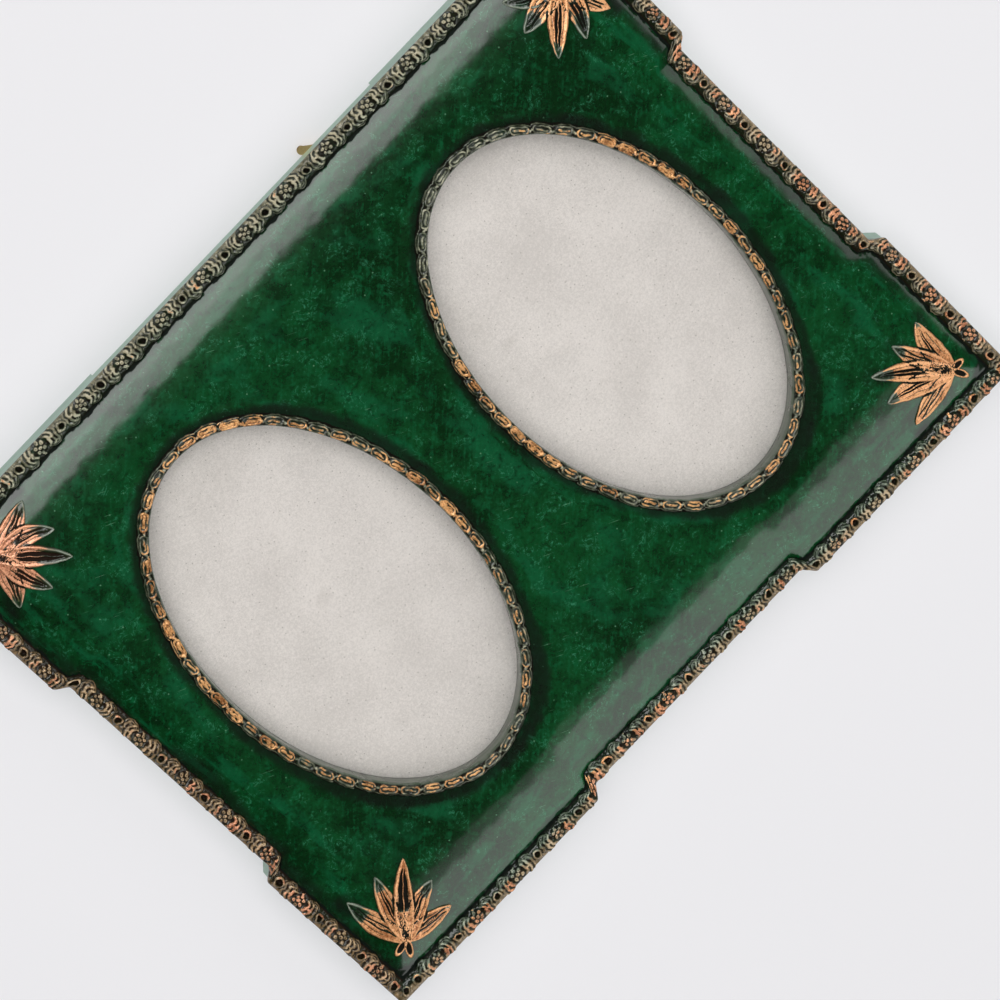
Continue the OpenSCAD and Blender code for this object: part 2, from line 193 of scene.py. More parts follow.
def waves(x, y, wavelength, seed):
    """Soft random hills between about -1 and 1: the sum of seven sine waves in seeded directions."""
    rng = np.random.default_rng(seed)
    total = 0
    for _ in range(7):
        turn, shift, scale = rng.uniform(0, 2 * np.pi), rng.uniform(0, 2 * np.pi), rng.uniform(0.7, 1.5)
        total = total + np.sin((x * np.cos(turn) + y * np.sin(turn)) * 2 * np.pi / wavelength * scale + shift)
    return total / 3.5


# %% [markdown]
# ## The outline with its set-back stretches
# The upper edge and both short sides step in over a long middle stretch, each time with a soft slant. The
# border follows that fully, and the face less and less towards the flat middle, as on the CAD model.

# %% Outline and face formulas
def top_inset(x):
    """1 over the set-back stretch of the upper edge, 0 beyond it, with a slant TOP_INSET_D long."""
    return smooth(TOP_INSET_LEN / 2 + TOP_INSET_D, TOP_INSET_LEN / 2, np.abs(x))


def side_inset(y):
    """The same for the short sides, about the windows' middle height."""
    return smooth(SIDE_INSET_LEN / 2 + SIDE_INSET_D, SIDE_INSET_LEN / 2, np.abs(y - WINDOW_Y))


def inward(x, y, fade=True):
    """How far a point lies in from the border's outer edge along X, and along Y. The set-back depth counts in
    full at the border and, with fade, dies away over the width of the roll."""
    from_side = HALF_W + np.where(x > 0, LIP["right"], LIP["left"]) - np.abs(x)
    from_end = HALF_H + np.where(y > 0, LIP["upper"], LIP["lower"]) - np.abs(y)
    share_x = np.clip((from_side - BORDER_W) / ROLL_W, 0, 1) * fade
    share_y = np.clip((from_end - BORDER_W) / ROLL_W, 0, 1) * fade
    return (from_side - SIDE_INSET_D * side_inset(y) * (1 - share_x),
            from_end - TOP_INSET_D * top_inset(x) * (1 - share_y) * (y > 0))


def from_window(x, y):
    """Distance from the nearer window's edge, positive outside: (e - 1) over the slope of e, where e is
    sqrt((x / a)^2 + (y / b)^2), which is 1 on the edge of the oval."""
    px, py = np.abs(x) - WINDOW_X, y - WINDOW_Y
    e = np.sqrt((px / WINDOW_HALF_W) ** 2 + (py / WINDOW_HALF_H) ** 2) + 1e-9
    slope = np.sqrt((px / WINDOW_HALF_W ** 2) ** 2 + (py / WINDOW_HALF_H ** 2) ** 2) / e + 1e-9
    return (e - 1) / slope


# Angles every 30 degrees round an oval, from the outer end of its short axis
ROUND = np.linspace(0, 2 * np.pi, 13)
RIM_W = 3.2
GUTTER_DEPTH, GUTTER_W = 0.95, 4.4
SEAM_DEPTH, SEAM_W = 0.2, 0.5


def face_height(x, y):
    """The dome. Each way, t runs from 0 at the border to 1 at the flat middle, and (1 - t)^2.2 is what is
    still missing of the rise. The two ways are joined softly by the fourth root of the sum of their fourth
    powers. A shallow gutter runs round each rim, and a narrow seam along the border."""
    deep = inward(x, y)
    missing = [(1 - np.clip((d - BORDER_W) / ROLL_W, 0, 1)) ** 2.2 for d in deep]
    dome = FACE_TOP - FACE_RISE * np.minimum((missing[0] ** 4 + missing[1] ** 4) ** 0.25, 1)
    away = np.maximum(from_window(x, y) - RIM_W, 0)
    seam = np.maximum(np.minimum(*deep) - BORDER_W, 0)
    return dome - GUTTER_DEPTH * np.exp(-(away / GUTTER_W) ** 2) - SEAM_DEPTH * np.exp(-(seam / SEAM_W) ** 2)


print("face height in the middle and at the seam:",
      face_height(np.array([0, 0]), np.array([0, BORDER_W - HALF_H])).round(2))

# %% [markdown]
# ## Where the corner palmettes stand
# Five pointed leaves and two short feet meet near each corner. They were modelled by hand, and no two corners
# are alike, so each has its own list of tips. The face needs it too: painted shade lies round the leaves.

# %% Places of the leaves
LEAF_W = 6.0
# Corner: where its leaves meet, its leaves, and the tips of its feet, in mm. A leaf is the X and Y of its
# tip, its width share, how far its hollow opens, how far it bows to the left of its own direction, and the
# share of its length that took copper.
PALMETTES = {
    "upper_right": ((111.8, 80.6), [
        (96.2, 83.4, 0.88, 0.3, 0.0, 0.97), (115.6, 60.6, 1.0, 0.3, 0.9, 0.7),
        (94.3, 73.5, 0.95, 0.5, 1.0, 0.8), (104.7, 60.7, 0.88, 0.9, 0.3, 0.82),
        (95.2, 62.8, 0.85, 2.0, 0.5, 1.1)], [(115.0, 86.0), (117.6, 82.2)]),
    "upper_left": ((-113.0, 80.6), [
        (-95.0, 84.5, 0.88, 0.3, -0.1, 1.1), (-115.4, 63.3, 1.05, 0.8, 1.1, 0.9),
        (-93.3, 73.4, 1.05, 1.0, -0.7, 0.86), (-105.6, 62.7, 0.9, 0.3, 0.5, 0.8),
        (-95.1, 64.5, 0.88, 1.3, -0.7, 0.78)], [(-115.6, 86.0), (-117.8, 81.3)]),
    "lower_left": ((-111.3, -77.0), [
        (-116.6, -61.9, 1.0, 0.4, -0.5, 1.1), (-96.6, -84.5, 0.85, 0.8, 1.3, 0.35),
        (-105.8, -61.1, 0.92, 1.5, 1.2, 0.62), (-94.9, -74.5, 1.0, 0.4, -0.3, 0.68),
        (-96.4, -63.0, 0.88, 1.4, -0.3, 0.86)], [(-116.5, -79.9), (-114.3, -82.3)]),
    "lower_right": ((109.5, -79.6), [
        (93.5, -85.4, 0.95, 0.5, -0.4, 0.8), (115.8, -65.4, 0.95, 0.5, 1.0, 0.8),
        (93.0, -73.9, 0.9, 0.4, 1.9, 0.72), (105.3, -62.9, 0.9, 1.3, -0.8, 0.72),
        (95.1, -65.1, 0.88, 1.9, 0.3, 0.6)], [(114.3, -82.0), (112.2, -84.0)]),
}


# %% [markdown]
# ## The domed face
# One sheet from border to border with two oval holes. Its edges run under the border and the rims, which
# hide the grid's stair-stepped edge. The leather-like crinkle is part of the shape. How dark the face is
# painted is a value per point, called shade: dark stain and painted shadow round the rims, darker bands
# beside the border, and painted shade round the leaves.

# %% Build the face
FACE_CELL, SEAM_CELL = 1.0, 0.4
# The close grid lines run from this far outside the border's inner edge to this far inside it
FINE_BEYOND, FINE_WITHIN = 2.4, 6.5
FACE_THICK = 0.9
BORDER_LAP = 1.4
RIM_LAP = 1.5
CRINKLE = 0.013
# How far the dark stain and painted shadow reach beyond the left (-1) and right (1) rim at each angle of
# ROUND
STAIN_AND_SHADOW_REACH = {-1: [3.0, 1.6, 4.2, 4.2, 2.0, 0.6, 1.4, 0.6, 1.0, 1.4, 1.2, 2.2, 3.0],
              1: [1.2, 3.0, 2.6, 2.2, 4.4, 2.1, 2.4, 2.7, 1.2, 1.2, 1.2, 1.4, 1.2]}


def graded(half):
    """Grid lines from side to side: close together where the seams run, and wider apart between them."""
    seam_end = half - BORDER_W - FINE_WITHIN
    fine = np.arange(half - BORDER_W + FINE_BEYOND, seam_end, -SEAM_CELL)
    middle = np.linspace(-seam_end, seam_end, int(2 * seam_end / FACE_CELL))
    return np.concatenate([-fine, middle, fine[::-1]])


def face_shade(x, y):
    """How dark the face is painted, in uneven bands: dark stain and painted shadow round the rims, darker
    bands beside the border, and painted shade round the leaves.
    """
    away = from_window(x, y) - RIM_W
    turn = np.arctan2((y - WINDOW_Y) / WINDOW_HALF_H, (np.abs(x) - WINDOW_X) / WINDOW_HALF_W) % (2 * np.pi)
    reach = np.where(x < 0, *[np.interp(turn, ROUND, STAIN_AND_SHADOW_REACH[side]) for side in (-1, 1)])
    reach = reach + 0.5 * waves(x, y, 14, 4) + 0.4 * waves(x, y, 5, 3)
    # Dark stain and painted shadow of the rim, in a band round each rim
    oval = 0.85 * smooth(reach + 3.2, reach - 0.4, away)
    d_side, d_end = inward(x, y)
    side = smooth(BORDER_W + 8, BORDER_W + 0.5, d_side + 2.0 * waves(x, y, 45, 5)) * 0.75
    end = smooth(BORDER_W + 3, BORDER_W + 0.2, d_end + 0.8 * waves(x, y, 30, 6)) * 0.7
    # Painted shade round each leaf of the palmettes
    leaves = 0
    for (root_x, root_y), tips, _ in PALMETTES.values():
        for tip_x, tip_y, *_ in tips:
            from_leaf = to_segment(x, y, root_x, root_y, tip_x, tip_y)
            leaves = np.maximum(leaves, 0.5 * smooth(4.6, 2.0, from_leaf))
    return np.clip(oval + side + end + leaves, 0, 1)


face_x, face_y = np.meshgrid(graded(HALF_W), graded(HALF_H))
middle_x = (face_x[1:, 1:] + face_x[:-1, :-1]) / 2
middle_y = (face_y[1:, 1:] + face_y[:-1, :-1]) / 2
middle_in = np.minimum(*inward(middle_x, middle_y, fade=False))
face_cells = (middle_in > BORDER_W - BORDER_LAP) & (from_window(middle_x, middle_y) > RIM_LAP)
face_z = face_height(face_x, face_y)
crinkle = CRINKLE * (waves(face_x, face_y, 7.5, 11) + 0.8 * waves(face_x, face_y, 4.6, 12))
# By the seam the face is hollow: dark stain and painted shade in the crease along the border
to_seam = np.minimum(*inward(face_x, face_y)) - BORDER_W + 0.4 * waves(face_x, face_y, 5, 9)
face = slab("stained_face", face_x, face_y, face_z + crinkle, face_z - FACE_THICK, face_cells,
            {"shade": face_shade(face_x, face_y), "hollow": smooth(0.7, 0.0, to_seam)})

# %% [markdown]
# ## The border's ornament
# The border repeats one motif: an eyelet ring, a shell-shaped bud, a cluster of tiny beads, and the bud
# again, mirrored. Curved strokes cross the outer part of a bud, bent round the beads, and they caught the
# copper. Its inner part falls to the seam in nested arcs, which stayed green. Each element is a formula along
# the border and across it, stamped onto a height field as a carver's punch would do it.

# %% Border motif formulas
MOTIF_STEP = 16.3
SHORT_GAP = 9.0
MOTIF_LINE = 2.3
CREST_Z = 12.75
EYELET_R, EYELET_BAR = 1.2, 0.42
BEAD_R = 0.66
BEAD_PLACES = [(-1.1, -0.8), (-1.1, 0.7), (0, -1.6), (0, 0), (0.1, 1.5), (1.1, -0.7), (1.1, 0.8), (-0.2, 2.5)]
BUD_AT = 4.4
BUD_LONG, BUD_WIDE = 2.6, 2.75
BUD_ARCS = (0.52, 0.73, 0.94)
BUD_STROKES = (1.15, 2.5, 3.85)
PROFILE_IN = [0.0, 0.1, 0.3, 0.7, 1.2, 3.5, 4.2, 4.8, 5.3, 5.9, 7.2]
PROFILE_Z = [11.6, 12.0, 12.3, 12.6, 12.75, 12.7, 12.4, 11.85, 11.4, 11.1, 10.9]
# How much more of the worn film lies on the outer half, except on the brown right side
OUTER_FILM = 0.14
# The height that an element gives where it isn't
ABSENT = -9.0


def eyelet(a, b):
    """A ring round a deep hole: a round bar bent to a circle. Gives its height over the crest, how raised and
    how hollow each point is, and how well copper sticks there, which is best on the half near the face."""
    r = np.hypot(a, b)
    bar = ridge(r - EYELET_R, EYELET_BAR)
    inner = smooth(-0.4, 0.9, b)
    height = np.where(r < EYELET_R + 0.45, 0.75 * bar - 0.9 * smooth(0.95, 0.5, r), ABSENT)
    return height, (0.6 + 0.35 * inner) * bar, smooth(1.0, 0.6, r), 0.3 + 0.8 * inner


def bud(a, b):
    """A shell. a grows towards the eyelet and b towards the face. Its body is a dome on an ellipse, e = 1 at
    its edge. Thin ridges on its inner part follow ellipses. The strokes are round bars along circles about
    a point on the beads' side, each bulging twice like a figure 3, and a short bar ties two together."""
    e = np.hypot(a / BUD_LONG, (b - 0.3) / BUD_WIDE)
    inner = smooth(0.9, 1.7, b)
    arcs = np.maximum.reduce([ridge(e - at, 0.085) for at in BUD_ARCS]) * inner
    r = np.hypot(a + BUD_LONG, 0.85 * b) - 0.45 * np.abs(np.sin(1.35 * (b + 0.2)))
    bars = [ridge(r - at, 0.46) for at in BUD_STROKES]
    tie = 0.85 * ridge(to_segment(a, b, -1.6, -0.3, 0.4, -0.1), 0.36)
    curl = np.maximum.reduce([*bars, tie]) * smooth(2.9, 1.9, b) * (0.65 + 0.35 * smooth(1.6, -0.6, a))
    height = 1.2 * ridge(e, 1.0) - 0.8 + 0.2 * arcs + 0.55 * curl
    hollow = smooth(0.3, 0.0, np.maximum(curl, arcs)) * smooth(1.02, 0.85, e)
    raised = np.maximum(np.maximum(curl, 0.62 * arcs), 0.45 * ridge(e, 1.0) * (1 - inner))
    sticks = (1 - 0.75 * inner) * (0.5 + 0.6 * smooth(2.0, -1.2, a))
    return np.where(e < 1, height, ABSENT), raised, 0.9 * hollow, sticks


def beads(a, b):
    """Eight little balls in a diagonal lattice, each with a dimple on top."""
    away = np.minimum.reduce([np.hypot(a - a0, b - b0) for a0, b0 in BEAD_PLACES])
    balls, dimple = ridge(away, BEAD_R), smooth(0.26, 0.1, away)
    around = smooth(2.5, 1.7, np.hypot(a, b))
    height = 0.7 * balls - 0.3 * around - 0.15 * dimple
    return np.where(around > 0, height, ABSENT), balls - 0.55 * dimple, around * smooth(0.45, 0.1, balls), 0.9


# %% [markdown]
# Each side lists where its eyelets stand, as measured along the real border. The spacing varies a little,
# so the buds and beads share out what lies between two eyelets. The copper rub took well on some sides and
# hardly at all on the lower one. The stain is browner on the outer half, and brownest on the right side.

# %% Places of the eyelets along each side
# Side: the direction in which it faces, how brown its outer and its inner half are, how well the copper
# took, and the places of its eyelets in mm
SIDES = {
    "lower": ((0, -1), 0.5, 0.3, 0.42, [
        -123.4, -107.6, -91.3, -74.6, -58.5, -42.6, -26.2, -10.1, 6.3, 22.8, 38.8, 55.3, 71.1, 87.7, 104.1,
        120.4]),
    "upper": ((0, 1), 0.85, 0.15, 0.88, [
        -127.8, -112.0, -95.2, -79.0, -62.8, -46.4, -31.0, -14.5, 2.0, 18.7, 35.5, 51.8, 68.7, 85.3, 101.7,
        118.4, 123.2]),
    "left": ((-1, 0), 0.85, 0.6, 0.98, [
        -92.4, -76.4, -60.1, -44.0, -28.4, -12.0, 4.4, 20.1, 36.7, 53.1, 69.2, 86.2, 102.5]),
    "right": ((1, 0), 1.0, 1.0, 0.9, [
        -88.8, -72.4, -56.1, -39.9, -23.6, -7.0, 9.6, 25.8, 42.2, 58.2, 74.9, 88.2]),
}


def set_back(name, along):
    """How far the side is set back at a place along it."""
    if name == "upper":
        return TOP_INSET_D * top_inset(along)
    return SIDE_INSET_D * side_inset(along) if name in ("left", "right") else np.zeros_like(along)


def stamp_side(name, u, v, from_mitre):
    """Height of one side's border, and how raised, hollow and coppered each point is. u runs along the side
    and v inwards from the outline. The plain profile comes first, and then each element, worked out for the
    points near it alone. The places wander a little, as handwork does."""
    *_, took, places = SIDES[name]
    seed = len(name) + 40
    rng = np.random.default_rng(seed)
    profile = np.interp(v, PROFILE_IN, PROFILE_Z)
    # The inner flank starts hollow: dark stain and painted shade in the crease at the seam
    z, raised, hollow = profile.copy(), 0.55 * smooth(3.5, 2.0, v), 0.8 * smooth(4.3, 5.0, v)
    copper = np.full(v.shape, 0.6 * took)
    along = u + 0.25 * waves(u, v * 2, 7, seed) + 0.1 * waves(u, v, 1.9, seed + 1)
    across = v - MOTIF_LINE + 0.18 * waves(u, v, 6, seed + 2) + 0.1 * waves(u, v, 1.7, seed + 3)

    def stamp(at, mirror, shape, reach=3.3):
        near = np.abs(u - at) < reach
        size, luck = rng.uniform(0.9, 1.1), rng.uniform(0.5, 1.15)
        height, high, deep, sticks = shape((along[near] - at) * mirror * size, across[near] * size)
        on = height > ABSENT
        raised_to = np.maximum(z[near], CREST_Z + height) if shape is bud else profile[near] + height
        for field, new in ((z, raised_to), (raised, high), (hollow, deep), (copper, took * luck * sticks)):
            field[near] = np.where(on, new, field[near])

    for start, end in zip(places[:-1], places[1:]):
        middle, reach = (start + end) / 2, (end - start) / MOTIF_STEP * BUD_AT
        if end - start > SHORT_GAP:
            stamp(middle, 1, beads)
            stamp(middle - reach, -1, bud)
            stamp(middle + reach, 1, bud)
    for at in places:
        stamp(at, 1, eyelet, 2.2)
    bumps = 0.07 * waves(u, v, 1.5, seed + 5) + 0.05 * waves(u, v, 0.9, seed + 6)
    bumps = bumps * smooth(0, 0.6, v) * smooth(5.6, 4.8, v)
    fade = smooth(0, 0.7, from_mitre)
    copper *= 1 + 0.3 * waves(u, v * 0, 38, seed + 4)
    hollow *= 0.45 + 0.4 * smooth(1.6, 3.4, v)
    raised *= np.clip(1.0 + 0.3 * waves(u, v, 2.7, seed + 7), 0.5, 1.2)
    if name != "right":
        raised += OUTER_FILM * smooth(3.6, 2.2, v)
    return profile + (z + bumps - profile) * fade, raised, hollow, copper


# %% [markdown]
# Each side is a closed bar: its top is the stamped height field, its outer face meets the side wall, and its
# underside is buried in the moulding. Both ends are mitred. The height at a point depends on where it really
# is, so the mitre doesn't shear the ornament.

# %% Build the four sides of the border
ALONG_CELL, ACROSS_CELL = 0.165, 0.17
BAND_IN = BORDER_W + 1.6
MITRE_REACH = 9.0
WALL_TOP = 11.0
BURIED = [(BAND_IN, 10.4), (1.3, 10.4), (0.02, 11.25)]
# The shade under all ornament
IN_STAIN = 0.9


def build_side(name):
    """One side of the border. Each row of its grid is a closed section: the top from outside to inside, and
    then the three buried points that bring it back under the lip."""
    (face_to_x, face_to_y), outer, inner, *_ = SIDES[name]
    across_half = (HALF_W if face_to_x else HALF_H) + LIP[name]
    half, ends = (HALF_H, ("lower", "upper")) if face_to_x else (HALF_W, ("left", "right"))
    start, end = [half + LIP[k] for k in ends]
    top_in = np.concatenate([[0.0, 0.05], np.arange(0.12, BAND_IN, ACROSS_CELL)])
    v = np.concatenate([top_in, [place for place, _ in BURIED]])[None, :]
    u0 = np.linspace(-start, end, int((start + end) / ALONG_CELL))[:, None]
    beyond = np.maximum(u0 - end + MITRE_REACH, 0) - np.maximum(-u0 - start + MITRE_REACH, 0)
    u = u0 - beyond * v / MITRE_REACH
    v = np.broadcast_to(v, u.shape)
    z, raised, hollow, copper = stamp_side(name, u, v, np.minimum(end - v - u, start - v + u))
    for k, (_, height) in enumerate(BURIED):
        z[:, len(top_in) + k], raised[:, len(top_in) + k] = height, 0
    out = across_half - set_back(name, u) - v
    x, y = (out * face_to_x, u) if face_to_x else (u, out * face_to_y)
    rows, columns = u.shape
    quads = grid_faces(rows, columns, wrap_columns=True)
    ring = np.arange(columns)[None, :]
    caps = [ring[:, ::-1], ring + (rows - 1) * columns]
    if name in ("lower", "right"):
        quads, caps = quads[:, ::-1], [cap[:, ::-1] for cap in caps]
    values = {"raised": raised, "hollow": hollow, "copper": copper, "shade": IN_STAIN,
              "warm": inner + (outer - inner) * smooth(3.6, 2.2, v)}
    return put_mesh(f"border_{name}", np.stack([x, y, z], -1), [quads, *caps], values)


borders = [build_side(name) for name in SIDES]

# %% [markdown]
# ## The oval rims
# Round each window runs a chain of long pads with a bead between each two. Each pad has a thin raised edge
# and one wavy stroke along its middle. The rim is one closed tube whose cross-section goes up the wall of the
# well, over the crest and down to the gutter. The pads are formulas in the arc length along the oval and the
# distance across it.

# %% Build the rims
LINK_COUNT = 53
LINK_R, LINK_BAR, LINK_HALF = 1.02, 0.32, 1.45
CHAIN_LINE = 1.5
RIM_STEPS = 1500
# How well copper took on the left (-1) and right (1) rim at each angle of ROUND
RIM_TOOK = {-1: [1.0, 0.7, 0.85, 0.85, 0.6, 0.8, 1.35, 0.8, 0.3, 0.3, 0.8, 1.25, 1.0],
            1: [1.1, 0.75, 0.9, 0.8, 0.7, 0.75, 1.2, 0.85, 1.1, 0.95, 1.1, 1.2, 1.1]}
CREST_OUT = np.arange(0.15, RIM_W + 0.45, 0.13)
RIM_PROFILE = ([0.0, 0.15, 0.5, 1.0, 2.4, 2.9, 3.3, 3.7], [15.3, 15.75, 16.0, 16.1, 16.0, 15.7, 15.1, 14.4])
WELL_SKIN = -0.06
LOOP_OUT = np.array([3.6, 1.2, 1.2, WELL_SKIN, WELL_SKIN, WELL_SKIN, WELL_SKIN])
LOOP_Z = np.array([13.9, 13.9, PANE_TOP + 0.02, PANE_TOP + 0.02, 10.6, 13.2, 15.2])


def build_rim(name, side):
    """A chain on an oval. a is the arc length from the nearest pad's middle and b the distance from the
    chain's wandering middle line. A pad is a long dome with a round bar along its edge and a stroke along
    its middle, and a thin contour runs past the outer side of each pad."""
    rng = np.random.default_rng(60 + side)
    fine = np.linspace(0, 2 * np.pi, RIM_STEPS * 4 + 1)
    hops = np.hypot(np.diff(WINDOW_HALF_W * np.cos(fine)), np.diff(WINDOW_HALF_H * np.sin(fine)))
    length = np.concatenate([[0], np.cumsum(hops)])
    s = np.linspace(0, length[-1], RIM_STEPS, endpoint=False)[:, None]
    t = np.interp(s, length, fine)
    normal = np.stack([WINDOW_HALF_H * np.cos(t), WINDOW_HALF_W * np.sin(t)], -1)
    normal /= np.linalg.norm(normal, axis=-1, keepdims=True)
    pitch = length[-1] / LINK_COUNT
    which = (s / pitch + 0.5).astype(int) % LINK_COUNT
    tilt, shift, luck = [rng.uniform(-r, r, LINK_COUNT)[which] for r in (0.16, 0.16, 0.35)]
    wander = 0.12 * np.sin(2 * np.pi * s / 23.0) + 0.08 * np.sin(2 * np.pi * s / 9.1)
    a, b = np.broadcast_arrays((s + pitch / 2) % pitch - pitch / 2, CREST_OUT - CHAIN_LINE - wander)
    b = b - shift - tilt * a * 0.6 + 0.1 * waves(s, b, 2.1, 62)
    a = a + 0.12 * waves(s, b, 2.6, 63)
    loop = to_segment(a, b, -LINK_HALF, 0, LINK_HALF, 0)
    pad = ridge(loop, LINK_R + LINK_BAR)
    edge = ridge(loop - LINK_R, LINK_BAR) * (0.75 + 0.25 * np.sin(1.3 * a + 2 * which))
    stroke = ridge(to_segment(a, b + 0.1 + 0.14 * np.sin(1.8 * a + which), -1.3, 0, 1.4, 0), 0.4)
    lines = np.maximum(edge, 0.9 * stroke)
    bead = ridge(np.hypot(np.abs(a) - pitch / 2, b + 0.25), 0.58)
    contour = ridge(b + CHAIN_LINE - 3.15 + 0.5 * (2 * a / pitch) ** 2, 0.22)
    raised = np.maximum.reduce([0.62 * pad, lines, bead, 0.6 * contour])
    raised = raised * np.clip(0.95 + 0.3 * waves(s, b, 2.4, 65), 0.5, 1.1)
    inside = smooth(0.35, 0.0, lines) * smooth(0.1, 0.4, pad)
    lobes = 0.22 * ridge(a, pitch / 2) * smooth(2.2, 3.0, b + CHAIN_LINE) + 0.15 * contour
    gap = 0.75 * smooth(0.2, 0.0, np.maximum.reduce([pad, bead, contour])) * smooth(0.0, 0.4, b + CHAIN_LINE)
    bumps = 0.05 * waves(s, b, 1.2, 64)
    plain = np.interp(b + CHAIN_LINE + wander, *RIM_PROFILE)
    crest_z = plain + lobes + bumps + 0.35 * pad + 0.3 * lines + 0.7 * bead - 0.15 * inside

    def closed(crest, back):
        """Values over the crest, and then those of the points that close the section behind it."""
        behind = np.ones((RIM_STEPS, len(LOOP_OUT))) * back
        return np.concatenate([np.broadcast_to(crest, a.shape), behind], 1)

    out, z = closed(CREST_OUT, LOOP_OUT), closed(np.minimum(crest_z, RIM_TOP), LOOP_Z)
    x = side * (WINDOW_X + WINDOW_HALF_W * np.cos(t) + normal[..., 0] * out)
    y = WINDOW_Y + WINDOW_HALF_H * np.sin(t) + normal[..., 1] * out
    quads = grid_faces(*out.shape, wrap_columns=True, wrap_rows=True)
    took = np.interp(t, ROUND, RIM_TOOK[side]) * (1 + luck)
    values = {"raised": closed(raised, 0), "hollow": closed(np.maximum(inside * 0.4, gap), 0),
              "copper": took * closed(1.35 - 0.5 * smooth(0.2, 1.2, b) - 0.75 * bead, 1),
              "shade": IN_STAIN, "well": smooth(0.3, 0.1, out), "warm": 0.35, "gold": 1.0}
    return put_mesh(name, np.stack([x, y, z], -1), [quads if side > 0 else quads[:, ::-1]], values)


rims = [build_rim("left_rim", -1), build_rim("right_rim", 1)]

# %% [markdown]
# ## The corner palmettes
# A leaf is a formula in its length and its width: flat flanges with a raised edge, a spindle-shaped hollow
# along the middle, and a thin midrib in the hollow.

# %% Leaf formulas and the four palmettes
LEAF_RELIEF = 0.7


def leaf(p, q, length, width, opening, bow):
    """One leaf: its height, how near its tip a point is, how hollow it is there, its outline, and the reach
    of a painted contact shadow round it. p runs along the leaf and q across it. Its half width is a power of
    sin(pi t^0.95), plus a little at the root, and n is the distance from its bowed middle line as a share of
    that. The hollow is a spindle that leaves a thin midrib standing. Where it hardly opens, two shallow lines
    run there instead."""
    t = np.clip(p / length, 0, 1)
    q = q - bow * np.sin(np.pi * t ** 1.2) + 0.1 * waves(p, q, 5, int(length * 10))
    half = width / 2 * (0.4 * (1 - t) ** 2 + 0.95 * np.sin(np.pi * t ** 0.95) ** 0.72) + 0.02
    n = np.abs(q) / half
    spindle = 0.7 * opening * np.sin(np.pi * np.clip((t - 0.1) / 0.8, 0, 1)) ** 0.7
    rib = smooth(0.08, 0.24, np.abs(q + 0.08 * np.sin(p * 1.3)))
    deep = smooth(spindle + 0.12, spindle - 0.1, np.abs(q)) * rib * (spindle > 0.1)
    lines = np.exp(-((np.abs(q) - 0.62 - 0.12 * np.sin(p * 0.9)) / 0.2) ** 2)
    lines = lines * smooth(0.1, 0.2, t) * smooth(0.92, 0.8, t)
    veins = np.exp(-((np.abs(q) - 0.6 * half - 0.1 * np.sin(p * 0.7 + length)) / 0.12) ** 2)
    veins = veins * smooth(0.2, 0.35, t)
    hollow = np.maximum(deep, np.maximum(0.9 * lines * (opening < 0.75), 0.45 * veins * smooth(0.9, 0.7, t)))
    outline = np.exp(-((n - 0.9) * half / 0.24) ** 2)
    height = 0.78 + 0.2 * outline - 0.65 * hollow + 0.05 * waves(p, q, 1.3, 33)
    height = height * smooth(1.15, 0.97, n) * smooth(-0.3, 0.6, p) * (p < length)
    return height, t, hollow, outline, smooth(1.35, 1.1, n) * smooth(0.28, 0.45, t) * (p < length)


def foot(p, q, length):
    """A short lobe at the foot: a raised rim round a hollow oval."""
    n = np.hypot(p - length / 2, q * length / 2.3) / (length / 2)
    hollow = smooth(0.72, 0.5, n)
    outline = np.exp(-((n - 0.85) / 0.12) ** 2)
    return (0.6 + 0.3 * outline - 0.5 * hollow) * smooth(1.12, 0.95, n), n * 0, hollow, outline, n * 0


